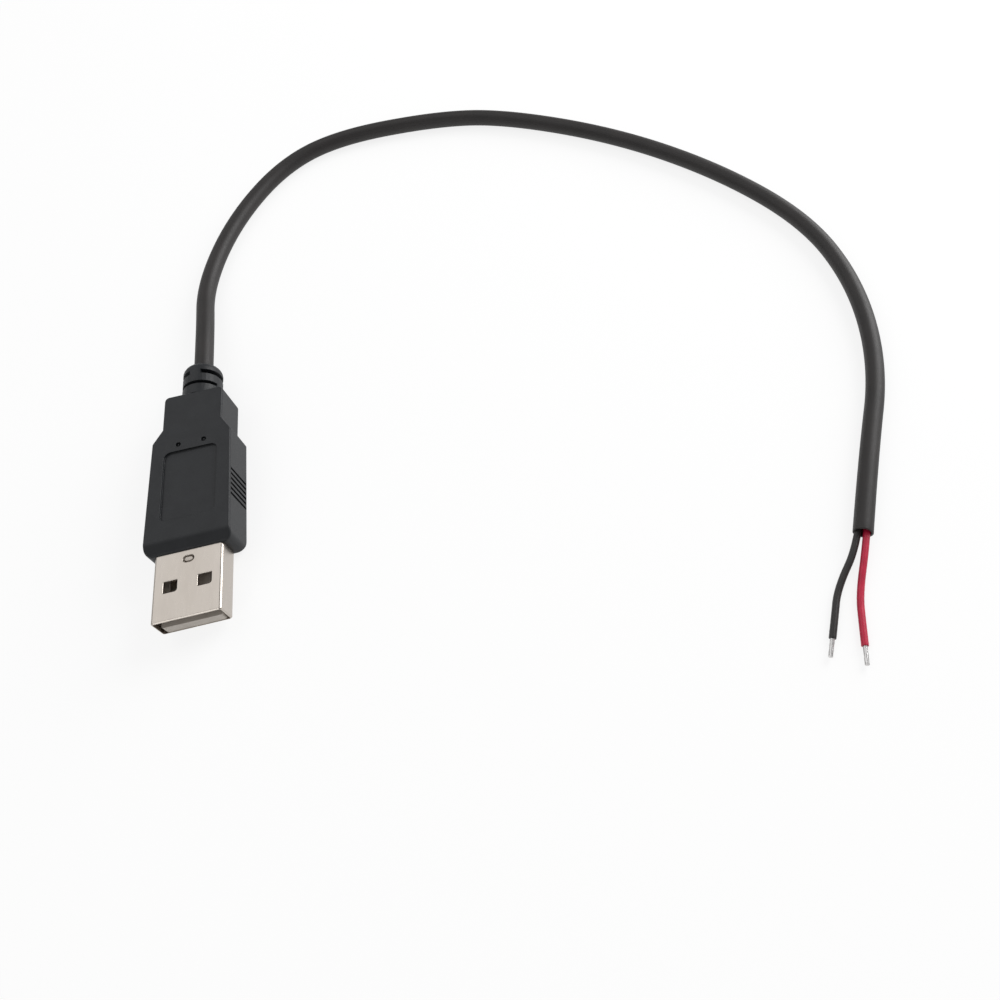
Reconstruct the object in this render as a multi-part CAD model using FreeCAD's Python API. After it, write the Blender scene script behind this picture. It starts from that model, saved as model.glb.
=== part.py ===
import FreeCAD, Part
import math
import os

os.makedirs("parts", exist_ok=True)

V = FreeCAD.Vector
X = V(1, 0, 0)
Y = V(0, 1, 0)
Z = V(0, 0, 1)
ORIGIN = V(0, 0, 0)

# A USB plug with a short two-core cable and two bare wire ends, in millimetres.
# The plug lies flat with its mouth towards -Y and its cable leaving towards +Y.
# Z = 0 is the flat underside of the moulded grip, and the origin is the middle of the plug.

# Plug shell, folded from sheet
shell_width = 12.0
shell_height = 4.5
sheet = 0.3
shell_corner = 0.55
shell_exposed = 12.6
shell_buried = 7.0
shell_lead_in = 0.12
window_width = 2.35
window_length = 2.15
window_from_mouth = 5.3
window_offset = 2.95
window_corner = 0.45
lock_hole_width = 1.9
lock_hole_length = 1.3
lock_hole_from_mouth = 11.0
seam_gap = 0.1
seam_tab_reach = 1.5
seam_tab_root = 1.6
seam_tab_flare = 0.45
seam_tab_from_mouth = 8.6

# Moulded grip and cable guard
body_height = 7.2
grip_front_width = 15.3
grip_rear_width = 14.6
grip_length = 23.4
shoulder_length = 2.8
neck_width = 11.1
neck_length = 7.6
bevel_length = 2.1
bevel_height = 1.1
front_corner = 1.5
shoulder_corner = 0.35
neck_corner = 1.0
edge_chamfer = 0.3
groove_count = 6
groove_pitch = 1.05
groove_width = 0.48
groove_depth = 0.44
groove_corner = 0.2
groove_end = 0.45
groove_from_front = 9.3
panel_width = 9.8
panel_length = 14.7
panel_depth = 0.4
panel_corner = 1.3
panel_to_shoulder = 2.7
dimple_diameter = 0.95
dimple_depth = 0.35
dimple_pin_diameter = 0.38
dimple_pin_below = 0.08
dimple_offset = 2.35
dimple_to_panel = 1.4

# Slotted guard round the cable
guard_diameter = 7.2
guard_length = 7.7
guard_wall = 0.6
guard_nose = 1.7
guard_nose_cones = 3
guard_lip = 0.25
first_slot = 2.0
first_slot_width = 0.7
first_web_width = 2.3
first_web_angle = 90.0
second_slot = 4.5
second_slot_width = 0.95
second_web_width = 2.0
second_web_angle = 0.0

# Insulating insert inside the shell
insert_clearance = 0.03
tongue_thickness = 1.95
tongue_width = 10.4
tongue_length = 9.4
tongue_corner = 0.45
mouth_setback = 0.1
boss_gap = 0.3
boss_below = 0.1

# Contacts
contact_width = 1.0
contact_thickness = 0.25
contact_offset = 3.5
contact_setback = 1.1
contact_sink = 0.05
contact_clearance = 0.05
contact_hook = 0.5
tail_joggle = 0.7
tail_length = 3.4

# Cable and wires
cable_diameter = 3.5
cable_bore = 2.8
wire_diameter = 1.25
conductor_diameter = 0.8
conductor_clearance = 0.02
core_offset = 0.65
core_crossing = 1.35
strip_inside = 2.4
straight_inside = 2.6
strip_outside = 3.1
solder_radius = 0.72
solder_length = 2.2
solder_film = 0.05
jacket_grip = 1.5

# The long cords and the solder have many-sided sections, which keep their facets few
cable_sides = 12
bore_sides = 8
wire_sides = 8
conductor_sides = 6
solder_sides = 8

# Inner mould round the soldered ends
inner_width = 9.6
inner_height = 5.0
inner_length = 16.4
inner_corner = 0.8

# Places that follow from the sizes
plug_length = shell_exposed + grip_length + shoulder_length + neck_length + guard_length
mouth_y = -plug_length / 2
body_y = mouth_y + shell_exposed
shoulder_y = body_y + grip_length
neck_y = shoulder_y + shoulder_length
guard_y = neck_y + neck_length
exit_y = guard_y + guard_length
axis_z = body_height / 2
shell_rear_y = body_y + shell_buried
shell_length = shell_exposed + shell_buried
cavity_floor = axis_z - shell_height / 2 + sheet
cavity_top = axis_z + shell_height / 2 - sheet
block_y = mouth_y + tongue_length
tongue_top = cavity_floor + tongue_thickness
contact_top = tongue_top - contact_sink
tail_top = axis_z - conductor_diameter / 2 - solder_film
tail_end_y = shell_rear_y + tail_length
inner_rear_y = shell_rear_y + inner_length
jacket_front_y = inner_rear_y - jacket_grip
cable_z = cable_diameter / 2
wire_z = wire_diameter / 2

# Route of the cable, from the guard's root to the cut end of the jacket
start_y = guard_y
end_of_jacket = V(112.3, -38.85, cable_z)
cable_points = [
    V(0, start_y, axis_z),
    V(0, exit_y + 9.2, axis_z),
    V(-1.5, 52.75, cable_z),
    V(4.5, 70.75, cable_z),
    V(15.5, 85.75, cable_z),
    V(29, 91.75, cable_z),
    V(52, 90.75, cable_z),
    V(68, 86.25, cable_z),
    V(91.5, 71.75, cable_z),
    V(111, 53.25, cable_z),
    V(125, 32.75, cable_z),
    V(129, 13.25, cable_z),
    V(126.5, -6.75, cable_z),
    V(118, -25.25, cable_z),
    end_of_jacket,
]

# Free ends of the two wires, beyond the jacket
black_end_points = [V(110.95, -40.45, 1.7), V(105.3, -46.85, wire_z), V(103.2, -51.75, wire_z),
                    V(100.6, -57.6, wire_z)]
red_end_points = [V(112.1, -40.95, 1.7), V(108.4, -48.65, wire_z), V(107.2, -53.45, wire_z),
                  V(105.65, -60.2, wire_z)]


def box(x0, x1, y0, y1, z0, z1):
    return Part.makeBox(x1 - x0, y1 - y0, z1 - z0, V(x0, y0, z0))


def rounded_outline(points, radii):
    """Closed wire through the corners, each one rounded by its own radius."""
    edges = []
    joints = []
    count = len(points)
    for i in range(count):
        before, corner, after = points[i - 1], points[i], points[(i + 1) % count]
        if radii[i] == 0:
            joints.append((corner, None, corner))
            continue
        back = (before - corner).normalize()
        ahead = (after - corner).normalize()
        half = back.getAngle(ahead) / 2
        reach = radii[i] / math.tan(half)
        bisector = (back + ahead).normalize()
        middle = corner + bisector * (radii[i] / math.sin(half) - radii[i])
        joints.append((corner + back * reach, middle, corner + ahead * reach))
    for i in range(count):
        first, middle, last = joints[i]
        if middle is not None:
            edges.append(Part.Arc(first, middle, last).toShape())
        following = joints[(i + 1) % count][0]
        if (following - last).Length > 1e-6:
            edges.append(Part.LineSegment(last, following).toShape())
    return Part.Wire(edges)


def prism(points, radii, direction):
    return Part.Face(rounded_outline(points, radii)).extrude(direction)


def rectangle(x0, x1, y0, y1, z):
    return [V(x0, y0, z), V(x1, y0, z), V(x1, y1, z), V(x0, y1, z)]


def upright_rectangle(width, low, high, y):
    half = width / 2
    return [V(-half, y, low), V(half, y, low), V(half, y, high), V(-half, y, high)]


def reaches_of(points):
    """Length that each corner of a route takes from its two runs: 0.45 of the shorter run."""
    reaches = []
    for before, corner, after in zip(points, points[1:], points[2:]):
        reaches.append(0.45 * min((before - corner).Length, (after - corner).Length))
    return reaches


def plan_turn(before, corner, after):
    a = corner - before
    b = after - corner
    return math.atan2(a.x * b.y - a.y * b.x, a.x * b.x + a.y * b.y)


def side_step(before, after):
    """Level unit vector to the right of the run."""
    run = after - before
    return V(run.y, -run.x, 0).normalize()


def route(points, reaches, start_trim=0.0, end_trim=0.0):
    """Straight runs joined by tangent arcs, in one wire, and the radius of each arc."""
    edges = []
    radii = []
    place = points[0] + (points[1] - points[0]).normalize() * start_trim
    for i, reach in enumerate(reaches):
        before, corner, after = points[i], points[i + 1], points[i + 2]
        back = (before - corner).normalize()
        ahead = (after - corner).normalize()
        half = back.getAngle(ahead) / 2
        radius = reach * math.tan(half)
        bisector = (back + ahead).normalize()
        first = corner + back * reach
        last = corner + ahead * reach
        middle = corner + bisector * (radius / math.sin(half) - radius)
        edges.append(Part.LineSegment(place, first).toShape())
        edges.append(Part.Arc(first, middle, last).toShape())
        radii.append(radius)
        place = last
    finish = points[-1] + (points[-2] - points[-1]).normalize() * end_trim
    edges.append(Part.LineSegment(place, finish).toShape())
    return Part.Wire(edges), radii


def section_ring(centre, along, radius, sides, facing):
    """Many-sided closed wire across a route, with its corners or its flats at the radius."""
    level = along.cross(Z).normalize()
    upright = level.cross(along)
    reach = radius if facing == "corners" else radius / math.cos(math.pi / sides)
    corners = []
    for i in range(sides):
        angle = 2 * math.pi * i / sides
        corners.append(centre + level * (reach * math.cos(angle)) + upright * (reach * math.sin(angle)))
    return Part.makePolygon(corners + corners[:1])


def sweep(wire, outer_diameter, sides, bore_diameter=0.0, bore_sides=0):
    """Many-sided section, with or without a bore, carried along each run and arc of a route."""
    first = wire.OrderedEdges[0]
    start = first.valueAt(first.FirstParameter)
    along = first.tangentAt(first.FirstParameter)
    rings = [section_ring(start, along, outer_diameter / 2, sides, "corners")]
    if bore_diameter:
        rings.append(section_ring(start, along, bore_diameter / 2, bore_sides, "flats"))
    section = Part.Face(rings, "Part::FaceMakerBullseye")
    walls = [section.copy()]
    for edge in wire.OrderedEdges:
        if edge.Curve.TypeId == "Part::GeomCircle":
            turn = math.degrees(edge.LastParameter - edge.FirstParameter)
            centre, axis = edge.Curve.Center, edge.Curve.Axis
            walls += [side.revolve(centre, axis, turn) for side in section.Edges]
            section.rotate(centre, axis, turn)
        else:
            run = edge.valueAt(edge.LastParameter) - edge.valueAt(edge.FirstParameter)
            walls += [side.extrude(run) for side in section.Edges]
            section.translate(run)
    walls.append(section)
    shell = Part.Shell(Part.makeCompound(walls).Faces)
    shell.sewShape()
    return solid_of(Part.Solid(shell))


def solid_of(shape):
    solids = shape.Solids
    if len(solids) != 1 or not shape.isValid():
        print("check: a piece has", len(solids), "solids, valid", shape.isValid())
    solid = max(solids, key=lambda piece: abs(piece.Volume))
    if solid.Volume < 0:
        solid.reverse()
    return solid


# Plug shell
def plug_shell():
    low = axis_z - shell_height / 2
    high = axis_z + shell_height / 2
    corners = [shell_corner] * 4
    outside = prism(upright_rectangle(shell_width, low, high, mouth_y), corners, Y * shell_length)
    front = [e for e in outside.Edges if e.BoundBox.YMax < mouth_y + 0.001]
    outside = outside.makeChamfer(shell_lead_in, front)
    inner_corners = [shell_corner - sheet] * 4
    inside = upright_rectangle(shell_width - 2 * sheet, low + sheet, high - sheet, mouth_y - 1)
    shell = outside.cut(prism(inside, inner_corners, Y * (shell_length + 2)))
    near = mouth_y + window_from_mouth
    for side in (-1, 1):
        centre = side * window_offset
        left = centre - window_width / 2
        right = centre + window_width / 2
        window = rectangle(left, right, near, near + window_length, low - 1)
        shell = shell.cut(prism(window, [0, window_corner, 0, 0], Z * (shell_height + 2)))
    shell = shell.cut(lock_prism(0.0, shell_height))
    return solid_of(shell.cut(seam(low)))


def lock_prism(inset, height):
    """Upright prism with round ends, over the lock hole or smaller by an inset all round."""
    half_width = lock_hole_width / 2 - inset
    half_length = lock_hole_length / 2 - inset
    middle_y = mouth_y + lock_hole_from_mouth
    plan = rectangle(-half_width, half_width, middle_y - half_length, middle_y + half_length, axis_z)
    return prism(plan, [half_length] * 4, Z * height)


def seam(low):
    """Gap where the folded sheet meets under the shell, with one dovetail tab."""
    root = seam_tab_root / 2
    tip = root + seam_tab_flare
    tab_y = mouth_y + seam_tab_from_mouth
    path = [
        V(0, mouth_y - 1, low),
        V(0, tab_y - root, low),
        V(seam_tab_reach, tab_y - tip, low),
        V(seam_tab_reach, tab_y + tip, low),
        V(0, tab_y + root, low),
        V(0, shell_rear_y + 1, low),
    ]
    gap = None
    for a, b in zip(path, path[1:]):
        run = b - a
        strip = Part.makeBox(run.Length + seam_gap, seam_gap, 3 * sheet)
        strip.translate(V(-seam_gap / 2, -seam_gap / 2, -sheet))
        strip.rotate(ORIGIN, Z, math.degrees(math.atan2(run.y, run.x)))
        strip.translate(a)
        gap = strip if gap is None else gap.fuse(strip)
    return gap


# Insert with its tongue
def contact_profile(clearance):
    """Side view of a contact, from the hook in the tongue to the solder tail."""
    top = contact_top + clearance
    low = contact_top - contact_thickness - clearance
    tail_high = tail_top + clearance
    tail_low = tail_top - contact_thickness - clearance
    front = mouth_y + contact_setback - clearance
    bend = shell_rear_y + 0.2
    return [
        V(0, front, top - contact_hook),
        V(0, front + contact_hook, top),
        V(0, bend, top),
        V(0, bend + tail_joggle, tail_high),
        V(0, tail_end_y + clearance, tail_high),
        V(0, tail_end_y + clearance, tail_low),
        V(0, bend + tail_joggle, tail_low),
        V(0, bend, low),
        V(0, front + contact_hook, low),
        V(0, front, low - contact_hook / 2),
    ]


def contact_bar(side, clearance):
    half = contact_width / 2 + clearance
    bar = prism(contact_profile(clearance), [0] * 10, X * (2 * half))
    bar.translate(V(side * contact_offset - half, 0, 0))
    return bar


def insert():
    front = mouth_y + mouth_setback
    half = tongue_width / 2
    tongue_plan = rectangle(-half, half, front, block_y + 1, cavity_floor)
    tongue = prism(tongue_plan, [tongue_corner, tongue_corner, 0, 0], Z * tongue_thickness)
    width = shell_width - 2 * sheet - 2 * insert_clearance
    low = cavity_floor
    high = cavity_top - insert_clearance
    block_corner = [shell_corner - sheet] * 4
    block_view = upright_rectangle(width, low, high, block_y)
    block = prism(block_view, block_corner, Y * (shell_rear_y - block_y))
    boss = lock_prism(boss_gap, shell_height / 2 - boss_below)
    piece = tongue.fuse([block, boss])
    for side in (-1, 1):
        piece = piece.cut(contact_bar(side, contact_clearance))
        left = side * contact_offset - contact_width / 2 - contact_clearance
        right = side * contact_offset + contact_width / 2 + contact_clearance
        near = mouth_y + contact_setback - contact_clearance
        channel = box(left, right, near, block_y, contact_top - contact_hook, tongue_top + 0.5)
        piece = piece.cut(channel)
    return solid_of(piece)


def contact(side):
    return solid_of(contact_bar(side, 0.0))


# Wires
reaches = reaches_of(cable_points)


def core_points(side, tail_side, crossing_lift, free_end):
    """Route of one wire from its contact to its free end, and how far each corner reaches."""
    shift = side * core_offset
    tail_x = tail_side * contact_offset
    entry_y = jacket_front_y
    bend_y = tail_end_y + straight_inside
    inside = [
        V(tail_x, shell_rear_y + 1.2, axis_z),
        V(tail_x, bend_y, axis_z),
        V(-0.1 * tail_x, (bend_y + entry_y) / 2, axis_z + crossing_lift),
        V(shift, entry_y, axis_z),
    ]
    along = []
    along_reach = []
    for i in range(1, len(cable_points) - 1):
        before, corner, after = cable_points[i - 1:i + 2]
        turn = plan_turn(before, corner, after)
        step_in = side_step(before, corner)
        step_out = side_step(corner, after)
        middle = (step_in + step_out).normalize()
        along.append(corner + middle * (shift / math.cos(turn / 2)))
        along_reach.append(reaches[i - 1] + shift * math.tan(turn / 2))
    points = inside + along + free_end
    joints = reaches_of(points)
    first = len(inside) - 1
    joints[first:first + len(along)] = along_reach
    return points, joints


red_points, red_reaches = core_points(-1, 1, core_crossing, red_end_points)
black_points, black_reaches = core_points(1, -1, -core_crossing, black_end_points)


def insulation(points, joints):
    wire, radii = route(points, joints, strip_inside, strip_outside)
    print("wire", round(wire.Length, 1), "mm, radii", [round(r, 1) for r in radii])
    bore = conductor_diameter + 2 * conductor_clearance
    return sweep(wire, wire_diameter, wire_sides, bore, conductor_sides)


def wire_room(points, joints):
    """What a wire takes out of the inner mould: its stripped end and its insulated run."""
    inside = points[:4] + [points[3] + Y * (jacket_grip + 2)]
    bare, radii = route(inside, joints[:3])
    covered, radii = route(inside, joints[:3], strip_inside)
    return [
        sweep(bare, conductor_diameter, conductor_sides),
        sweep(covered, wire_diameter, wire_sides),
    ]


def conductor(points, joints):
    wire, radii = route(points, joints)
    return sweep(wire, conductor_diameter, conductor_sides)


def solder(points):
    """Solder round a wire's stripped end, on the flat of the contact's tail."""
    start = points[0] + Y * 0.15
    ring = section_ring(start, Y, solder_radius, solder_sides, "corners")
    rod = Part.Face(ring).extrude(Y * solder_length)
    x = start.x
    keep = box(x - 2, x + 2, start.y - 1, start.y + solder_length + 1, tail_top, axis_z + 2)
    return rod.common(keep)


# Cable jacket
def jacket():
    points = [V(0, jacket_front_y, axis_z)] + cable_points[1:]
    wire, radii = route(points, reaches)
    tube = sweep(wire, cable_diameter, cable_sides, cable_bore, bore_sides)
    section = tube.Faces[0].Area
    print("cable radii", [round(r, 1) for r in radii])
    print("jacket", round(wire.Length, 1), "mm, of which outside the guard",
          round(wire.Length - (exit_y - jacket_front_y), 1))
    print("volume", round(tube.Volume, 1), "against section times length",
          round(section * wire.Length, 1))
    return tube


# Inner mould
def inner_envelope():
    half = inner_width / 2
    plan = rectangle(-half, half, shell_rear_y, inner_rear_y, axis_z - inner_height / 2)
    return prism(plan, [0, 0, inner_corner, inner_corner], Z * inner_height)


def inner_mould(held):
    block = inner_envelope()
    for piece in held:
        block = block.cut(piece)
    return solid_of(block)


# Grip
def side_half(y):
    """Half the grip's width at a place along it: its sides taper towards the cable."""
    share = (y - body_y) / grip_length
    return (grip_front_width + (grip_rear_width - grip_front_width) * share) / 2


def grip_block():
    front = grip_front_width / 2
    rear = grip_rear_width / 2
    neck = neck_width / 2
    right = [V(front, body_y, 0), V(rear, shoulder_y, 0), V(neck, neck_y, 0), V(neck, guard_y, 0)]
    radii = [front_corner, shoulder_corner, shoulder_corner, neck_corner]
    left = [V(-p.x, p.y, 0) for p in reversed(right)]
    block = prism(right + left, radii + radii[::-1], Z * body_height)
    flat = [e for e in block.Edges if e.BoundBox.ZLength < 0.001]
    block = block.makeChamfer(edge_chamfer, flat)
    nose = [
        V(0, body_y, bevel_height),
        V(0, body_y + bevel_length, 0),
        V(0, guard_y + 1, 0),
        V(0, guard_y + 1, body_height),
        V(0, body_y + bevel_length, body_height),
        V(0, body_y, body_height - bevel_height),
    ]
    view = prism(nose, [0.8, 1.8, 0, 0, 1.8, 0.8], X * (grip_front_width + 2))
    view.translate(V(-grip_front_width / 2 - 1, 0, 0))
    return block.common(view)


def guard():
    """Turned nose of the grip with two rings of staggered slots."""
    radius = guard_diameter / 2
    bore = cable_diameter / 2
    lip = bore + guard_lip
    root_y = guard_y - 1.5
    nose_y = exit_y - guard_nose
    outline = [V(0, root_y, 0), V(radius, root_y, 0)]
    for i in range(guard_nose_cones + 1):
        turn = math.radians(90) * i / guard_nose_cones
        outline.append(V(lip + (radius - lip) * math.cos(turn), nose_y + guard_nose * math.sin(turn), 0))
    outline += [V(0, exit_y, 0), V(0, root_y, 0)]
    nose = Part.Face(Part.makePolygon(outline)).revolve(ORIGIN, Y, 360)
    nose.translate(Z * axis_z)
    nose = nose.cut(slot_ring(guard_y + first_slot, first_slot_width, first_web_width, first_web_angle))
    return nose.cut(slot_ring(guard_y + second_slot, second_slot_width, second_web_width, second_web_angle))


def slot_ring(y, width, web_width, web_angle):
    centre = V(0, y, axis_z)
    ring = Part.makeCylinder(guard_diameter, width, centre, Y)
    core = cable_diameter / 2 + guard_wall
    ring = ring.cut(Part.makeCylinder(core, width, centre, Y))
    web = box(-web_width / 2, web_width / 2, y, y + width, axis_z - 20, axis_z + 20)
    web.rotate(centre, Y, web_angle)
    return ring.cut(web)


def groove_pair(y):
    """Cutters for a groove in each side of the grip, closed at the top and the bottom."""
    inside = side_half(y) - groove_depth
    near = y - groove_width / 2
    far = y + groove_width / 2
    height = Z * (body_height - 2 * groove_end)
    right = rectangle(inside, inside + 1, near, far, groove_end)
    left = rectangle(-inside - 1, -inside, near, far, groove_end)
    return [prism(right, [groove_corner, 0, 0, groove_corner], height),
            prism(left, [0, groove_corner, groove_corner, 0], height)]


def overmould(inner_block):
    piece = grip_block().fuse(guard())
    for i in range(groove_count):
        piece = piece.cut(groove_pair(body_y + groove_from_front + i * groove_pitch))
    rear = shoulder_y - panel_to_shoulder
    floor = body_height - panel_depth
    half = panel_width / 2
    panel = rectangle(-half, half, rear - panel_length, rear, floor)
    piece = piece.cut(prism(panel, [panel_corner] * 4, Z * 2))
    for side in (-1, 1):
        at = V(side * dimple_offset, rear + dimple_to_panel, body_height - dimple_depth)
        hole = Part.makeCylinder(dimple_diameter / 2, 1, at, Z)
        pin = Part.makeCylinder(dimple_pin_diameter / 2, dimple_depth - dimple_pin_below, at, Z)
        piece = piece.cut(hole.cut(pin))
    low = axis_z - shell_height / 2
    high = axis_z + shell_height / 2
    shell_view = upright_rectangle(shell_width, low, high, body_y - 1)
    piece = piece.cut(prism(shell_view, [shell_corner] * 4, Y * (shell_buried + 1)))
    piece = piece.cut(inner_block)
    bore_at = V(0, inner_rear_y - 0.5, axis_z)
    bore_length = exit_y - inner_rear_y + 1
    piece = piece.cut(Part.makeCylinder(cable_diameter / 2, bore_length, bore_at, Y))
    return solid_of(piece)


# All the pieces
red_insulation = insulation(red_points, red_reaches)
black_insulation = insulation(black_points, black_reaches)
red_conductor = conductor(red_points, red_reaches)
black_conductor = conductor(black_points, black_reaches)
positive_contact = contact(1)
negative_contact = contact(-1)
positive_solder = solid_of(solder(red_points).cut(red_conductor))
negative_solder = solid_of(solder(black_points).cut(black_conductor))
cable_jacket = jacket()
held_pieces = [
    positive_contact,
    negative_contact,
    positive_solder,
    negative_solder,
    Part.makeCylinder(cable_diameter / 2, jacket_grip + 1, V(0, jacket_front_y, axis_z), Y),
]
held_pieces += wire_room(red_points, red_reaches)
held_pieces += wire_room(black_points, black_reaches)

parts = {
    "plug_shell": plug_shell(),
    "contact_insert": insert(),
    "positive_contact": positive_contact,
    "negative_contact": negative_contact,
    "positive_solder_joint": positive_solder,
    "negative_solder_joint": negative_solder,
    "inner_mould": inner_mould(held_pieces),
    "overmould_grip": overmould(inner_envelope()),
    "cable_jacket": cable_jacket,
    "red_wire_insulation": red_insulation,
    "black_wire_insulation": black_insulation,
    "red_wire_conductor": red_conductor,
    "black_wire_conductor": black_conductor,
}

for name, shape in parts.items():
    shape.exportStep("parts/" + name + ".step")
    bounds = shape.optimalBoundingBox(False, False)
    print(name, len(shape.Solids), "solid,", "valid" if shape.isValid() else "not valid",
          "volume", round(shape.Volume, 2), "z", round(bounds.ZMin, 3), round(bounds.ZMax, 3))
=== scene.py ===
import bpy
import bmesh
import math
from mathutils import Matrix, Vector


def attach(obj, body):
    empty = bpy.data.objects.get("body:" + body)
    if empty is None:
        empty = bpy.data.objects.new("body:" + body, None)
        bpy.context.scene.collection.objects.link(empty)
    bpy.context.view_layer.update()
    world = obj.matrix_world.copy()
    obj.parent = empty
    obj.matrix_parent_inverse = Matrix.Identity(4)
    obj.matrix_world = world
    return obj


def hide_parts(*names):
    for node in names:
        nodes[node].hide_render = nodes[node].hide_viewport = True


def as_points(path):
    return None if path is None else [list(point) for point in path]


# Looks of a USB plug with a short two-core cable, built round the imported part.
# Shapes are drawn in millimetres, as in the part's source, and scaled to metres at the end.

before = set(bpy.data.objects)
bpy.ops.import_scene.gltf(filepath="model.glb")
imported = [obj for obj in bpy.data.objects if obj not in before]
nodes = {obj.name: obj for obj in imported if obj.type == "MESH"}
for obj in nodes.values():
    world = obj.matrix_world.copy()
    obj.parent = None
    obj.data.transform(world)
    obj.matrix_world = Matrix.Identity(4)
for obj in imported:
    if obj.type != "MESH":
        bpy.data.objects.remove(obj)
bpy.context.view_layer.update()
MM = 0.001  # metres in a millimetre

# Plug and grip, as in the part's source
mouth_y = -27.05
body_y = -14.45
shoulder_y = 8.95
neck_y = 11.75
guard_y = 19.35
exit_y = 27.05
body_height = 7.2
axis_z = body_height / 2
shell_width = 12.0
shell_height = 4.5
shell_corner = 0.55
sheet = 0.3
shell_lead_in = 0.12
window_width = 2.35
window_length = 2.15
window_from_mouth = 5.3
window_offset = 2.95
window_corner = 0.45
lock_hole_width = 1.9
lock_hole_length = 1.3
lock_hole_from_mouth = 11.0
boss_gap = 0.3
seam_gap = 0.1
seam_tab_reach = 1.5
seam_tab_root = 1.6
seam_tab_flare = 0.45
seam_tab_from_mouth = 8.6
shell_rear_y = -7.45
inner_width = 9.6
inner_height = 5.0
inner_rear_y = 8.95
grip_front_width = 15.3
grip_rear_width = 14.6
neck_width = 11.1
bevel_length = 2.1
bevel_height = 1.1
bevel_front_round = 0.8
bevel_top_round = 1.8
front_corner = 1.5
shoulder_corner = 0.35
neck_corner = 1.0
edge_round = 0.4
groove_count = 6
groove_pitch = 1.05
groove_width = 0.48
groove_depth = 0.44
groove_corner = 0.2
groove_end = 0.45
groove_from_front = 9.3
panel_width = 9.8
panel_length = 14.7
panel_depth = 0.4
panel_corner = 1.3
panel_to_shoulder = 2.7
dimple_diameter = 0.95
dimple_depth = 0.35
dimple_pin_diameter = 0.38
dimple_pin_below = 0.08
dimple_offset = 2.35
dimple_to_panel = 1.4
guard_diameter = 7.2
guard_wall = 0.6
guard_nose = 1.7
guard_lip = 0.25
# Ring slots in the guard: start, width, width of the webs, angle of the webs in degrees
slots = [(2.0, 0.7, 2.3, 90.0), (4.5, 0.95, 2.0, 0.0)]

# Cable and wires
cable_diameter = 3.5
cable_bore = 2.8
wire_diameter = 1.25
conductor_diameter = 0.8
conductor_clearance = 0.02
core_offset = 0.65
core_crossing = 1.35
contact_offset = 3.5
jacket_front_y = 7.45
tail_bend_y = -1.45
strip_inside = 2.4
strip_outside = 3.1
cable_z = cable_diameter / 2
wire_z = wire_diameter / 2

cable_points = [
    Vector((0, guard_y, axis_z)),
    Vector((0, exit_y + 9.2, axis_z)),
    Vector((-1.5, 52.75, cable_z)),
    Vector((4.5, 70.75, cable_z)),
    Vector((15.5, 85.75, cable_z)),
    Vector((29, 91.75, cable_z)),
    Vector((52, 90.75, cable_z)),
    Vector((68, 86.25, cable_z)),
    Vector((91.5, 71.75, cable_z)),
    Vector((111, 53.25, cable_z)),
    Vector((125, 32.75, cable_z)),
    Vector((129, 13.25, cable_z)),
    Vector((126.5, -6.75, cable_z)),
    Vector((118, -25.25, cable_z)),
    Vector((112.3, -38.85, cable_z)),
]
black_end_points = [
    Vector((110.95, -40.45, 1.7)),
    Vector((105.3, -46.85, wire_z)),
    Vector((103.2, -51.75, wire_z)),
    Vector((100.6, -57.6, wire_z)),
]
red_end_points = [
    Vector((112.1, -40.95, 1.7)),
    Vector((108.4, -48.65, wire_z)),
    Vector((107.2, -53.45, wire_z)),
    Vector((105.65, -60.2, wire_z)),
]

# Sizes that only the looks need
curve_steps = 20
cable_sides = 40
wire_sides = 28
strand_sides = 42
strand_count = 7
strand_turn = 7.0
strand_relief = 0.08
sleeve_relief = 0.018
corner_steps = 8
end_steps = 5
nose_steps = 12
slot_steps = 40
dimple_sides = 32
cut_round = 0.08
wire_cut_round = 0.06
soft_edge = 0.05
slot_root_bevel = 0.06
window_tight_corner = 0.12
rim = 0.13
seat_gap = 0.01
guard_root = 0.15
dimple_extra_depth = 0.15
moat_depth = 1.2
past = 1.0
sharp_angle = 35.0


# Materials
def noise(tree, place, scale, detail=3.0, roughness=0.5):
    node = tree.nodes.new("ShaderNodeTexNoise")
    node.inputs["Scale"].default_value = scale
    node.inputs["Detail"].default_value = detail
    node.inputs["Roughness"].default_value = roughness
    tree.links.new(place, node.inputs["Vector"])
    return node.outputs["Fac"]


def ramp(tree, value, low, high, first, last):
    """Colours or greys between two values of a texture."""
    node = tree.nodes.new("ShaderNodeValToRGB")
    node.color_ramp.elements[0].position = low
    node.color_ramp.elements[0].color = (*first, 1)
    node.color_ramp.elements[1].position = high
    node.color_ramp.elements[1].color = (*last, 1)
    tree.links.new(value, node.inputs["Fac"])
    return node.outputs["Color"]


def grey(value):
    return (value, value, value)


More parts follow.
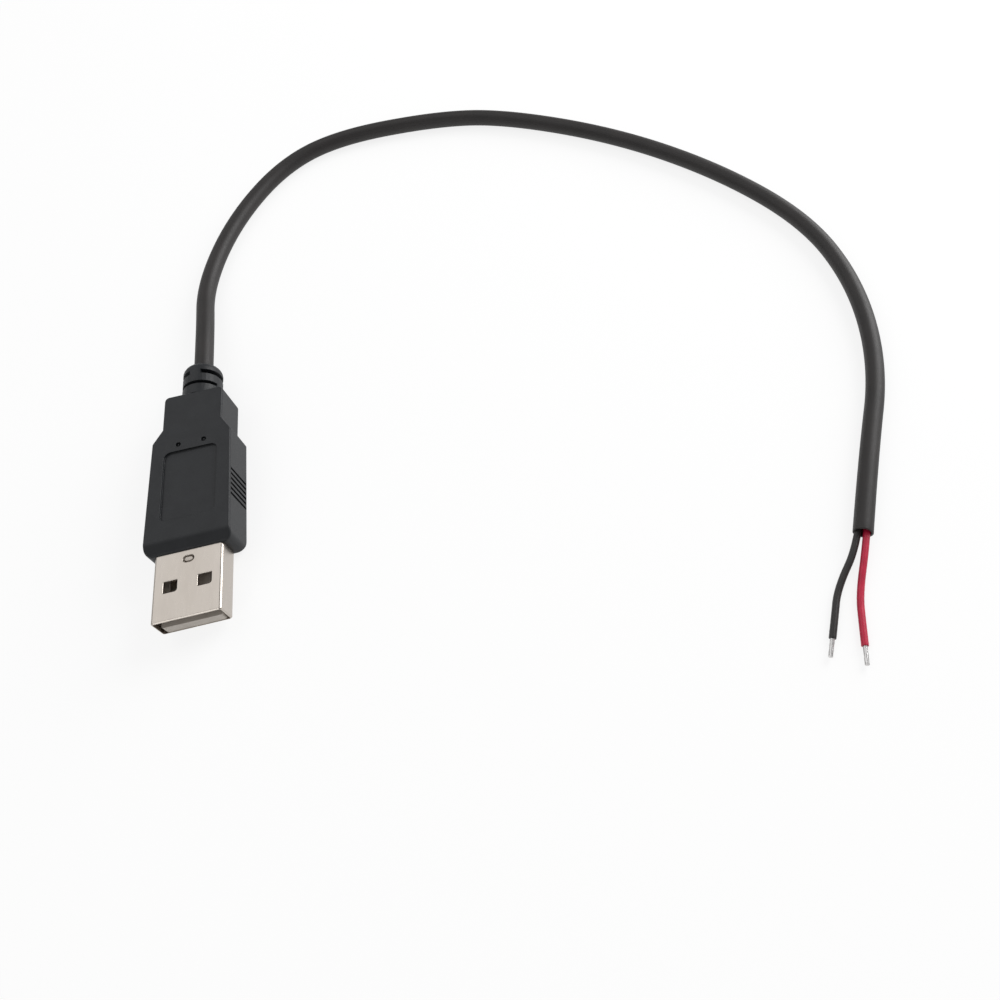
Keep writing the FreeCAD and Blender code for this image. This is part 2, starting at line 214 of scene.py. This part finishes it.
def surface(name, dark, light, rough, blotch, grain, height, metal=0.0, stretch=(1, 1, 1)):
    """Procedural finish: the colour drifts between two values and a fine grain moves the
    roughness and raises the surface by its height in millimetres."""
    made = bpy.data.materials.new(name)
    made.use_nodes = True
    tree = made.node_tree
    shader = tree.nodes["Principled BSDF"]
    shader.inputs["Metallic"].default_value = metal
    coords = tree.nodes.new("ShaderNodeTexCoord")
    mapping = tree.nodes.new("ShaderNodeMapping")
    mapping.inputs["Scale"].default_value = stretch
    tree.links.new(coords.outputs["Object"], mapping.inputs["Vector"])
    place = mapping.outputs["Vector"]
    drift = noise(tree, place, blotch)
    fine = noise(tree, place, grain, 4.0, 0.6)
    tree.links.new(ramp(tree, drift, 0.35, 0.65, dark, light), shader.inputs["Base Color"])
    roughness = ramp(tree, fine, 0.3, 0.7, grey(rough[0]), grey(rough[1]))
    tree.links.new(roughness, shader.inputs["Roughness"])
    bump = tree.nodes.new("ShaderNodeBump")
    bump.inputs["Distance"].default_value = height * MM
    bump.inputs["Strength"].default_value = 1.0
    tree.links.new(fine, bump.inputs["Height"])
    tree.links.new(bump.outputs["Normal"], shader.inputs["Normal"])
    return made


def charcoal_moulding():
    made = surface("charcoal_moulding", (0.0080, 0.0092, 0.0115), (0.0110, 0.0125, 0.0150),
                   (0.42, 0.58), 300, 7000, 0.012)
    made.node_tree.nodes["Principled BSDF"].inputs["Specular IOR Level"].default_value = 0.42
    return made


def black_sheath():
    return surface("black_sheath", (0.0150, 0.0130, 0.0125), (0.0200, 0.0170, 0.0165),
                   (0.46, 0.62), 200, 5000, 0.010)


def nickel_plate():
    return surface("nickel_plate", (0.490, 0.446, 0.402), (0.530, 0.486, 0.442),
                   (0.26, 0.33), 160, 2600, 0.0004, 1.0, (1, 0.15, 1))


def white_moulding():
    return surface("white_moulding", (0.54, 0.490, 0.435), (0.61, 0.555, 0.495),
                   (0.38, 0.50), 400, 5000, 0.004)


def natural_moulding():
    return surface("natural_moulding", (0.60, 0.59, 0.55), (0.70, 0.69, 0.65),
                   (0.35, 0.50), 300, 3000, 0.008)


def dull_strip():
    return surface("dull_strip", (0.50, 0.46, 0.39), (0.58, 0.53, 0.45),
                   (0.30, 0.44), 500, 4000, 0.002, 1.0)


def bright_solder():
    return surface("bright_solder", (0.60, 0.61, 0.62), (0.74, 0.75, 0.76),
                   (0.20, 0.38), 900, 2500, 0.012, 1.0)


def tinned_strands():
    return surface("tinned_strands", (0.62, 0.61, 0.605), (0.74, 0.73, 0.725),
                   (0.24, 0.38), 1200, 4000, 0.008, 1.0)


def red_sleeve():
    return surface("red_sleeve", (0.46, 0.008, 0.042), (0.56, 0.014, 0.056),
                   (0.34, 0.46), 500, 4000, 0.005)


def black_sleeve():
    return surface("black_sleeve", (0.018, 0.016, 0.016), (0.026, 0.023, 0.022),
                   (0.36, 0.48), 500, 4000, 0.005)


# Mesh helpers
def rounded_path(points, radii):
    """Points along straight stretches, with each corner between them rounded by its radius."""
    made = [points[0]]
    for i in range(1, len(points) - 1):
        corner = points[i]
        back = (points[i - 1] - corner).normalized()
        ahead = (points[i + 1] - corner).normalized()
        half = back.angle(ahead) / 2
        if radii[i - 1] == 0 or half > math.pi / 2 - 1e-4:
            made.append(corner)
            continue
        centre = corner + (back + ahead).normalized() * (radii[i - 1] / math.sin(half))
        first = corner + back * (radii[i - 1] / math.tan(half)) - centre
        last = corner + ahead * (radii[i - 1] / math.tan(half)) - centre
        for k in range(corner_steps + 1):
            spoke = first.slerp(last, k / corner_steps).normalized()
            made.append(centre + spoke * radii[i - 1])
    made.append(points[-1])
    return made


def value_at(path, place):
    """Second coordinate of a path at a place along its first."""
    for a, b in zip(path, path[1:]):
        if a.x <= place <= b.x and b.x > a.x:
            return a.y + (b.y - a.y) * (place - a.x) / (b.x - a.x)
    return path[-1].y if place > path[-1].x else path[0].y


def section(y, half_width, low, high, corner):
    """Ring of points round an upright rounded rectangle, seen along Y."""
    corner = max(min(corner, half_width, (high - low) / 2), 0.001)
    ring = []
    for i, (x_side, z_side) in enumerate([(1, 1), (-1, 1), (-1, -1), (1, -1)]):
        x = x_side * (half_width - corner)
        z = high - corner if z_side > 0 else low + corner
        for k in range(corner_steps + 1):
            angle = math.pi / 2 * (i + k / corner_steps)
            ring.append(Vector((x + corner * math.cos(angle), y, z + corner * math.sin(angle))))
    return ring


def round_section(y, radius):
    return section(y, radius, axis_z - radius, axis_z + radius, radius)


def loft(rings, closed=False):
    """Mesh in millimetres through rings of equal count, capped unless it closes on itself."""
    made = bmesh.new()
    rows = [[made.verts.new(p) for p in ring] for ring in rings]
    pairs = list(zip(rows, rows[1:])) + ([(rows[-1], rows[0])] if closed else [])
    for first, last in pairs:
        for i in range(len(first)):
            j = (i + 1) % len(first)
            made.faces.new((first[i], first[j], last[j], last[i]))
    if not closed:
        made.faces.new(rows[0])
        made.faces.new(rows[-1][::-1])
    bmesh.ops.remove_doubles(made, verts=made.verts, dist=1e-5)
    bmesh.ops.recalc_face_normals(made, faces=made.faces)
    mesh = bpy.data.meshes.new("loft")
    made.to_mesh(mesh)
    made.free()
    return mesh


def as_object(name, mesh):
    made = bpy.data.objects.new(name, mesh)
    bpy.context.scene.collection.objects.link(made)
    return made


def cut_from(body, cutters):
    """The body mesh without what the cutter meshes take out of it."""
    shown = as_object("cut_body", body)
    tools = []
    for mesh in cutters:
        tool = as_object("cutter", mesh)
        step = shown.modifiers.new("cut", "BOOLEAN")
        step.operation = "DIFFERENCE"
        step.solver = "EXACT"
        step.object = tool
        tools.append(tool)
    made = baked(shown)
    for spent in [shown] + tools:
        bpy.data.objects.remove(spent)
    return made


def baked(shown):
    """Mesh of an object with its modifiers applied."""
    bpy.context.view_layer.update()
    ready = shown.evaluated_get(bpy.context.evaluated_depsgraph_get())
    return bpy.data.meshes.new_from_object(ready)


def joined(meshes):
    made = bmesh.new()
    for mesh in meshes:
        made.from_mesh(mesh)
    whole = bpy.data.meshes.new("joined")
    made.to_mesh(whole)
    made.free()
    return whole


def shaded(mesh):
    """Smooth mesh whose flat faces stay flat: each normal leans to the larger faces."""
    mesh.shade_smooth()
    mesh.set_sharp_from_angle(angle=math.radians(sharp_angle))
    shown = as_object("shaded", mesh)
    step = shown.modifiers.new("normals", "WEIGHTED_NORMAL")
    step.mode = "FACE_AREA"
    step.weight = 50
    step.keep_sharp = True
    made = baked(shown)
    bpy.data.objects.remove(shown)
    return made


def piece(name, mesh, material, slot, *stands_for):
    """Finished piece in metres that rides on the body and stands for CAD nodes."""
    mesh.transform(Matrix.Scale(MM, 4))
    mesh = shaded(mesh)
    mesh.name = name
    made = as_object(name, mesh)
    made.data.materials.clear()
    made.data.materials.append(material)
    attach(made, "root")
    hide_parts(*stands_for)
    return made


# Grip
def plan_path():
    """Half the width along the grip, from its front face to its rear face."""
    points = [(body_y, 0), (body_y, grip_front_width / 2), (shoulder_y, grip_rear_width / 2),
              (neck_y, neck_width / 2), (guard_y, neck_width / 2), (guard_y, 0)]
    radii = [front_corner, shoulder_corner, shoulder_corner, neck_corner]
    return rounded_path([Vector(p) for p in points], radii)


def profile_path():
    """Height over the middle plane along the grip, with the bevelled nose."""
    half = body_height / 2
    points = [(body_y, 0), (body_y, half - bevel_height), (body_y + bevel_length, half),
              (guard_y, half), (guard_y, 0)]
    radii = [bevel_front_round, bevel_top_round, edge_round]
    return rounded_path([Vector(p) for p in points], radii)


def grip_rings():
    """Grip from the cable's bore, over the inner mould's and the shell's seats, to its outside."""
    plan = plan_path()
    profile = profile_path()
    front = body_y + 0.05
    places = sorted({round(p.x, 4) for p in plan + profile if front < p.x < guard_y - 1e-3})
    half = body_height / 2
    rings = [
        round_section(guard_y, cable_diameter / 2 + seat_gap),
        round_section(inner_rear_y, cable_diameter / 2 + seat_gap),
        section(inner_rear_y, inner_width / 2, axis_z - inner_height / 2,
                axis_z + inner_height / 2, 0.05),
        section(shell_rear_y, inner_width / 2, axis_z - inner_height / 2,
                axis_z + inner_height / 2, 0.05),
    ]
    for y in (shell_rear_y, front):
        rings.append(section(y, shell_width / 2 + seat_gap, axis_z - shell_height / 2 - seat_gap,
                             axis_z + shell_height / 2 + seat_gap, shell_corner))
    for y in [front] + places + [guard_y - 1e-3]:
        reach = value_at(profile, y)
        rings.append(section(y, value_at(plan, y), half - reach, half + reach, edge_round))
    return rings


def groove_cutter(y, side):
    """One side groove: closed at the top and the bottom, with round root corners and a soft rim."""
    wide = groove_width / 2
    share = (y - body_y) / (shoulder_y - body_y)
    skin = (grip_front_width + (grip_rear_width - grip_front_width) * share) / 2
    low, high = groove_end, body_height - groove_end
    rings = []
    for z, shrink in [(low, 0.07), (low + 0.02, 0.02), (low + 0.07, 0), (high - 0.07, 0),
                      (high - 0.02, 0.02), (high, 0.07)]:
        half = [Vector(p) for p in [(-0.6, wide + soft_edge), (-0.005, wide + soft_edge),
                                    (0.015, wide + 0.015), (soft_edge, wide - shrink),
                                    (groove_depth, wide - shrink), (groove_depth, 0)]]
        line = rounded_path(half, [0, 0, 0, groove_corner - shrink])[:-1]
        both = [(p.x, p.y) for p in line] + [(p.x, -p.y) for p in reversed(line)]
        rings.append([Vector((side * (skin - depth), y + along, z)) for depth, along in both])
    return loft(rings)


def panel_cutter():
    """Recess with a softened rim and floor edge."""
    rear = shoulder_y - panel_to_shoulder
    middle = rear - panel_length / 2
    floor = body_height - panel_depth
    rings = []
    for z, grow in [(floor, -0.03), (floor + 0.03, 0), (body_height - 0.03, 0),
                    (body_height, 0.03), (body_height + past, 0.03)]:
        ring = section(0, panel_width / 2 + grow, -panel_length / 2 - grow,
                       panel_length / 2 + grow, panel_corner + grow)
        rings.append([Vector((p.x, middle + p.z, z)) for p in ring])
    return loft(rings)


def dimple_cutter(side):
    """Round hole with a pin standing in its middle."""
    rear = shoulder_y - panel_to_shoulder
    centre = Vector((side * dimple_offset, rear + dimple_to_panel, 0))
    radius = dimple_diameter / 2
    pin = dimple_pin_diameter / 2 - 0.04
    floor = body_height - dimple_depth - dimple_extra_depth
    top = body_height - dimple_pin_below - 0.06
    shape = [(0.02, top), (pin - 0.04, top), (pin, top - 0.04), (pin, floor + 0.02),
             (pin + 0.02, floor), (radius - 0.03, floor), (radius, floor + 0.03),
             (radius, body_height - 0.04), (radius + 0.04, body_height + 0.002),
             (radius + 0.04, body_height + past)]
    rings = []
    turn = [2 * math.pi * k / dimple_sides for k in range(dimple_sides)]
    for r, z in shape:
        rings.append([centre + Vector((r * math.cos(a), r * math.sin(a), z)) for a in turn])
    return loft(rings)


def guard_rings():
    """Turned guard with a round nose, from its bore to its outside."""
    radius = guard_diameter / 2
    bore = cable_diameter / 2 + seat_gap
    lip = cable_diameter / 2 + guard_lip
    root_y = guard_y - guard_root
    nose_y = exit_y - guard_nose
    rings = [round_section(root_y, bore), round_section(exit_y - 0.06, bore),
             round_section(exit_y, bore + 0.05), round_section(exit_y, lip - 0.05)]
    for k in range(1, nose_steps + 1):
        turn = math.pi / 2 * k / nose_steps
        rings.append(round_section(nose_y + guard_nose * math.cos(turn),
                                   lip + (radius - lip) * math.sin(turn)))
    rings.append(round_section(root_y, radius))
    return rings


def slot_cutter(y, width, web_width, web_angle, side):
    """One half of a ring slot: it stops at the webs and has softened outer edges."""
    core = cable_diameter / 2 + guard_wall
    top = guard_diameter / 2
    end = y + width
    root = slot_root_bevel
    shape = [(core, y + root), (core + root, y), (top - soft_edge, y), (top, y - soft_edge),
             (top + past, y - soft_edge), (top + past, end + soft_edge), (top, end + soft_edge),
             (top - soft_edge, end), (core + root, end), (core, end - root)]
    rings = []
    start = math.radians(90 - web_angle) + (0 if side > 0 else math.pi)
    for k in range(slot_steps + 1):
        ring = []
        for r, place in shape:
            margin = math.asin(web_width / 2 / r)
            angle = start + margin + (math.pi - 2 * margin) * k / slot_steps
            ring.append(Vector((r * math.cos(angle), place, axis_z + r * math.sin(angle))))
        rings.append(ring)
    return loft(rings)


def grip(material):
    cutters = [panel_cutter()]
    for side in (-1, 1):
        cutters.append(dimple_cutter(side))
        for i in range(groove_count):
            cutters.append(groove_cutter(body_y + groove_from_front + i * groove_pitch, side))
    body = cut_from(loft(grip_rings(), True), cutters)
    halves = []
    for start, width, web, angle in slots:
        halves += [slot_cutter(guard_y + start, width, web, angle, side) for side in (-1, 1)]
    nose = cut_from(loft(guard_rings(), True), halves)
    return piece("moulded_grip", joined([body, nose]), material, "black_moulding", "overmould_grip")


# Plug shell
def plan_ring(x0, x1, y0, y1, radii, grow, z):
    """Level ring round a rectangle with its own radius at each corner, grown by a margin."""
    corners = [(x0 - grow, y0 - grow), (x1 + grow, y0 - grow),
               (x1 + grow, y1 + grow), (x0 - grow, y1 + grow)]
    corners = [Vector(p) for p in corners]
    middle = (corners[-1] + corners[0]) / 2
    line = rounded_path([middle] + corners + [middle], [r + grow for r in radii])[:-1]
    return [Vector((p.x, p.y, z)) for p in line]


def shell_rings():
    """Folded shell from its mouth to its rear end and back, with a coined front edge."""
    rings = []
    lip = 2 * shell_lead_in
    profile = [(0.0, -lip - 0.025), (0.0, -lip), (0.03, -lip + 0.055), (lip - 0.055, -0.03),
               (lip + 0.02, 0.0)]
    rear = shell_rear_y - mouth_y
    back = [(rear, 0.0), (rear, -sheet), (0.05, -sheet), (0.01, -sheet + 0.012)]
    for along, grow in profile + back:
        rings.append(section(mouth_y + along, shell_width / 2 + grow,
                             axis_z - shell_height / 2 - grow, axis_z + shell_height / 2 + grow,
                             shell_corner + grow))
    return rings


def sheet_cutter(ring_at, above):
    """Cutter through the sheet over or under the plug, with rims rounded on both faces."""
    rings = []
    for depth, grow in [(sheet + 0.4, 0.04), (sheet, 0.04), (sheet - 0.04, 0.0), (rim, 0.0),
                        (rim * 0.62, rim * 0.07), (rim * 0.29, rim * 0.29),
                        (rim * 0.07, rim * 0.62), (0.0, rim), (-0.4, rim)]:
        face = axis_z + shell_height / 2 if above else axis_z - shell_height / 2
        rings.append(ring_at(grow, face - depth if above else face + depth))
    return loft(rings)


def window_cutter(side, above):
    """Window for a socket's spring, with one rounder corner at the mouth's side."""
    near = mouth_y + window_from_mouth
    left = side * window_offset - window_width / 2
    tight = window_tight_corner

    def ring_at(grow, z):
        return plan_ring(left, left + window_width, near, near + window_length,
                         [tight, window_corner, tight, tight], grow, z)
    return sheet_cutter(ring_at, above)


def lock_ring(inset, z):
    """Level ring of the oblong lock hole, drawn in by a margin."""
    half_width = lock_hole_width / 2
    half_length = lock_hole_length / 2
    middle_y = mouth_y + lock_hole_from_mouth
    return plan_ring(-half_width, half_width, middle_y - half_length, middle_y + half_length,
                     [half_length - 1e-3] * 4, -inset, z)


def seam_cutter():
    """Gap where the folded sheet meets under the shell, with one dovetail tab."""
    root = seam_tab_root / 2
    tip = root + seam_tab_flare
    tab_y = mouth_y + seam_tab_from_mouth
    path = [(0, mouth_y - 1), (0, tab_y - root), (seam_tab_reach, tab_y - tip),
            (seam_tab_reach, tab_y + tip), (0, tab_y + root), (0, shell_rear_y + 1)]
    path = [Vector(p) for p in path]

    def ring_at(grow, z):
        reach = seam_gap / 2 + grow * 0.5
        right = []
        left = []
        for i, p in enumerate(path):
            run_in = (p - path[i - 1]).normalized() if i else None
            run_out = (path[i + 1] - p).normalized() if i + 1 < len(path) else None
            steps = [Vector((run.y, -run.x)) for run in (run_in, run_out) if run is not None]
            middle = sum(steps, Vector((0, 0))).normalized()
            offset = middle * (reach / middle.dot(steps[0]))
            right.append(Vector((*(p + offset), z)))
            left.append(Vector((*(p - offset), z)))
        return right + left[::-1]
    return sheet_cutter(ring_at, False)


def metal_shell(material):
    cutters = [window_cutter(side, above) for side in (-1, 1) for above in (True, False)]
    cutters += [sheet_cutter(lambda grow, z: lock_ring(-grow, z), True), seam_cutter()]
    whole = cut_from(loft(shell_rings(), True), cutters)
    return piece("metal_shell", whole, material, "nickel_steel", "plug_shell")


# Insert and contacts: the CAD form with its edges broken
def moat_cutter():
    """Deepens the gap between the boss and the rim of the lock hole."""
    top = axis_z + shell_height / 2 - sheet + 0.02
    levels = (top - moat_depth, top)
    wall = [lock_ring(0.0, z) for z in levels]
    wall += [lock_ring(boss_gap, z) for z in reversed(levels)]
    return loft(wall, True)


def softened(node, name, width, material, slot, cutters=()):
    """Piece with a CAD node's own form and small bevels on its sharp edges."""
    made = bmesh.new()
    made.from_mesh(nodes[node].data)
    made.transform(Matrix.Scale(1 / MM, 4))
    bmesh.ops.remove_doubles(made, verts=made.verts, dist=1e-4)
    bmesh.ops.dissolve_limit(made, angle_limit=math.radians(0.5),
                             verts=made.verts, edges=made.edges)
    mesh = bpy.data.meshes.new(name)
    made.to_mesh(mesh)
    made.free()
    shown = as_object("soft", mesh)
    step = shown.modifiers.new("soft", "BEVEL")
    step.width = width
    step.segments = 2
    step.limit_method = "ANGLE"
    step.angle_limit = math.radians(40)
    step.use_clamp_overlap = True
    step.harden_normals = False
    whole = baked(shown)
    bpy.data.objects.remove(shown)
    return piece(name, cut_from(whole, cutters), material, slot, node)


# Cable and wires
def curve_line(points):
    """Smooth line through a cord's route, read from its NURBS spline."""
    data = bpy.data.curves.new("route", "CURVE")
    data.dimensions = "3D"
    spline = data.splines.new("NURBS")
    spline.points.add(len(points) - 1)
    for place, p in zip(spline.points, points):
        place.co = (*p, 1)
    spline.order_u = 3
    spline.use_endpoint_u = True
    spline.resolution_u = curve_steps
    shown = as_object("route", data)
    mesh = baked(shown)
    line = [v.co.copy() for v in mesh.vertices]
    bpy.data.objects.remove(shown)
    return line


def frames_along(line):
    """Place, direction, side and length so far for each point of a line, with no twist."""
    frames = []
    side = None
    length = 0.0
    for i, p in enumerate(line):
        ahead = (line[min(i + 1, len(line) - 1)] - line[max(i - 1, 0)]).normalized()
        if side is None:
            side = ahead.cross(Vector((0, 0, 1))).normalized()
        side = (side - ahead * side.dot(ahead)).normalized()
        if i:
            length += (p - line[i - 1]).length
        frames.append((p, ahead, side, length))
    return frames


def trimmed(line, start, end):
    """The line without its first and last millimetres."""
    frames = frames_along(line)
    total = frames[-1][3]
    made = []
    for (a, _, _, s0), (b, _, _, s1) in zip(frames, frames[1:]):
        for stop in (start, total - end):
            if s0 < stop <= s1:
                made.append(a.lerp(b, (stop - s0) / (s1 - s0)))
        if start < s1 < total - end:
            made.append(b)
    return made


def tube_rings(line, radius, sides, lobes=0, depth=0.0, end_round=0.0):
    """Rings along a line; lobes twist round it like strands, and the last ones can close in."""
    frames = frames_along(line)
    total = frames[-1][3]
    rings = []
    for p, ahead, side, s in frames:
        up = ahead.cross(side)
        shrink = 0.0
        if end_round and total - s < end_round:
            drop = 1 - (total - s) / end_round
            shrink = end_round * (1 - math.sqrt(max(0.0, 1 - drop * drop)))
        ring = []
        for k in range(sides):
            angle = 2 * math.pi * k / sides
            twist = lobes * (angle + 2 * math.pi * s / strand_turn) / 2
            r = radius - shrink - depth * (1 - abs(math.cos(twist)) if lobes else 0)
            ring.append(p + side * (r * math.cos(angle)) + up * (r * math.sin(angle)))
        rings.append(ring)
    return rings


def with_end_steps(line, reach):
    """Adds points close together over the last stretch, so that an end can be rounded."""
    last, before = line[-1], line[-2]
    run = (before - last).normalized()
    kept = [p for p in line[:-1] if (p - last).length > reach * 1.5]
    turns = [math.pi / 2 * k / end_steps for k in range(end_steps + 1)]
    return kept + [last + run * (reach * (1 - math.sin(turn))) for turn in turns]


def side_step(before, after):
    """Level direction square to a stretch."""
    run = after - before
    return Vector((run.y, -run.x, 0)).normalized()


def core_points(side, tail_side, crossing_lift, free_end):
    """Route of one wire from its contact's tail, beside the cable's own line, to its free end."""
    shift = side * core_offset
    tail_x = tail_side * contact_offset
    inside = [
        Vector((tail_x, shell_rear_y + 1.2, axis_z)),
        Vector((tail_x, tail_bend_y, axis_z)),
        Vector((-0.1 * tail_x, (tail_bend_y + jacket_front_y) / 2, axis_z + crossing_lift)),
        Vector((shift, jacket_front_y, axis_z)),
    ]
    along = []
    for before, corner, after in zip(cable_points, cable_points[1:], cable_points[2:]):
        step_in = side_step(before, corner)
        step_out = side_step(corner, after)
        middle = (step_in + step_out).normalized()
        along.append(corner + middle * (shift / middle.dot(step_in)))
    return inside + along + free_end


def jacket(material):
    """Hollow sheath with a soft cut edge, and the line it follows in metres."""
    line = with_end_steps(curve_line(cable_points), cut_round)
    outside = tube_rings(line, cable_diameter / 2, cable_sides, end_round=cut_round)
    inside = tube_rings(line, cable_bore / 2, cable_sides)
    mesh = loft(outside + inside[::-1], True)
    made = piece("cable_sheath", mesh, material, "black_jacket", "cable_jacket")
    return made, [p * MM for p in line]


def sleeve(name, points, material, slot, node):
    """Insulation: it shows the strands' lay faintly and is cut square where it is stripped."""
    bare = trimmed(curve_line(points), strip_inside, strip_outside)
    line = with_end_steps(bare, wire_cut_round)
    outside = tube_rings(line, wire_diameter / 2, wire_sides, strand_count, sleeve_relief,
                         wire_cut_round)
    inside = tube_rings(line, conductor_diameter / 2 + conductor_clearance, wire_sides)
    return piece(name, loft(outside + inside[::-1], True), material, slot, node)


def strands(name, points, material, node):
    """Twisted conductor, tinned over, with a rounded cut end."""
    line = with_end_steps(curve_line(points), wire_cut_round)
    rings = tube_rings(line, conductor_diameter / 2, strand_sides, strand_count, strand_relief,
                       wire_cut_round)
    return piece(name, loft(rings), material, "tinned_copper", node)


def dress_nodes(material, *names):
    """Gives CAD nodes that stay as they are their material."""
    for name in names:
        for slot in nodes[name].material_slots:
            slot.material = material


# Floor, light and camera
def floor():
    mesh = bpy.data.meshes.new("floor")
    side = 3.0
    low = -0.00005
    corners = [(-side, -side, low), (side, -side, low), (side, side, low), (-side, side, low)]
    mesh.from_pydata(corners, [], [(0, 1, 2, 3)])
    made = as_object("floor", mesh)
    mesh.materials.append(white_floor())


def seen_ray(tree):
    """1 for what the camera, a reflection or glass sees, and 0 for light that bounces."""
    path = tree.nodes.new("ShaderNodeLightPath")
    total = path.outputs["Is Camera Ray"]
    for name in ("Is Glossy Ray", "Is Transmission Ray"):
        add = tree.nodes.new("ShaderNodeMath")
        add.operation = "MAXIMUM"
        tree.links.new(total, add.inputs[0])
        tree.links.new(path.outputs[name], add.inputs[1])
        total = add.outputs["Value"]
    return total


def white_floor():
    """White paper that keeps the shadow: part of its white is its own where it is seen, and
    more so far off, where the lamps' light falls away."""
    made = bpy.data.materials.new("white_floor")
    made.use_nodes = True
    tree = made.node_tree
    shader = tree.nodes["Principled BSDF"]
    shader.inputs["Base Color"].default_value = (0.80, 0.80, 0.80, 1)
    shader.inputs["Roughness"].default_value = 0.9
    shader.inputs["Specular IOR Level"].default_value = 0.0
    glow = tree.nodes.new("ShaderNodeEmission")
    coords = tree.nodes.new("ShaderNodeTexCoord")
    reach = tree.nodes.new("ShaderNodeVectorMath")
    reach.operation = "LENGTH"
    tree.links.new(coords.outputs["Object"], reach.inputs[0])
    lift = tree.nodes.new("ShaderNodeMapRange")
    for name, value in [("From Min", 0.35), ("From Max", 1.1), ("To Min", 1.095), ("To Max", 1.26)]:
        lift.inputs[name].default_value = value
    tree.links.new(reach.outputs["Value"], lift.inputs["Value"])
    tree.links.new(lift.outputs["Result"], glow.inputs["Strength"])
    mix = tree.nodes.new("ShaderNodeMixShader")
    part = tree.nodes.new("ShaderNodeMath")
    part.operation = "MULTIPLY"
    part.inputs[1].default_value = 0.75
    tree.links.new(seen_ray(tree), part.inputs[0])
    tree.links.new(part.outputs["Value"], mix.inputs["Fac"])
    tree.links.new(shader.outputs["BSDF"], mix.inputs[1])
    tree.links.new(glow.outputs["Emission"], mix.inputs[2])
    tree.links.new(mix.outputs["Shader"], tree.nodes["Material Output"].inputs["Surface"])
    return made


def sky(strength):
    """Even light from all round, behind a background that is seen as white."""
    world = bpy.data.worlds.new("studio")
    bpy.context.scene.world = world
    world.use_nodes = True
    tree = world.node_tree
    room = tree.nodes["Background"]
    room.inputs["Color"].default_value = (1, 1, 1, 1)
    room.inputs["Strength"].default_value = strength
    seen = tree.nodes.new("ShaderNodeBackground")
    seen.inputs["Color"].default_value = (1, 1, 1, 1)
    seen.inputs["Strength"].default_value = 1.0
    mix = tree.nodes.new("ShaderNodeMixShader")
    path = tree.nodes.new("ShaderNodeLightPath")
    tree.links.new(path.outputs["Is Camera Ray"], mix.inputs["Fac"])
    tree.links.new(room.outputs["Background"], mix.inputs[1])
    tree.links.new(seen.outputs["Background"], mix.inputs[2])
    tree.links.new(mix.outputs["Shader"], tree.nodes["World Output"].inputs["Surface"])


def lamp(name, place, target, size, power):
    """Square lamp that faces its target; its size is in metres and its power in watts."""
    data = bpy.data.lights.new(name, "AREA")
    data.shape = "SQUARE"
    data.size = size
    data.energy = power
    made = as_object(name, data)
    made.location = place
    made.rotation_euler = (Vector(target) - Vector(place)).to_track_quat("-Z", "Y").to_euler()


def camera():
    """The photo's camera, solved from the plug and the cable."""
    data = bpy.data.cameras.new("camera")
    data.sensor_width = 36
    data.lens = 34.815
    data.shift_x = -0.14
    data.shift_y = -0.065
    data.clip_start = 0.005
    made = as_object("camera", data)
    made.location = (0.07386, -0.10601, 0.14842)
    made.rotation_euler = [math.radians(turn) for turn in (32.926, 5.404, -12.193)]
    bpy.context.scene.camera = made


# The object
grip(charcoal_moulding())
metal_shell(nickel_plate())
softened("contact_insert", "white_tongue", 0.05, white_moulding(), "white_plastic", [moat_cutter()])
strip = dull_strip()
softened("positive_contact", "contact_strip_right", 0.03, strip, "contact_strip")
softened("negative_contact", "contact_strip_left", 0.03, strip, "contact_strip")
dress_nodes(bright_solder(), "positive_solder_joint", "negative_solder_joint")
dress_nodes(natural_moulding(), "inner_mould")

red_points = core_points(-1, 1, core_crossing, red_end_points)
black_points = core_points(1, -1, -core_crossing, black_end_points)
tin = tinned_strands()
wires = [
    sleeve("red_sleeve", red_points, red_sleeve(), "red_insulation", "red_wire_insulation"),
    sleeve("black_sleeve", black_points, black_sleeve(), "black_insulation",
           "black_wire_insulation"),
    strands("red_strands", red_points, tin, "red_wire_conductor"),
    strands("black_strands", black_points, tin, "black_wire_conductor"),
]
sheath, sheath_line = jacket(black_sheath())
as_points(sheath_line)

# The studio
floor()
sky(0.36)
lamp("behind", (-0.36, 0.34, 0.66), (0.02, 0.0, 0), 0.75, 1.5)
lamp("right", (0.48, 0.27, 0.24), (0.04, 0.0, 0), 0.4, 2.6)
lamp("front", (-0.22, -0.46, 0.30), (0.05, 0.0, 0), 0.25, 0.35)
camera()
bpy.context.scene.view_settings.view_transform = "Standard"
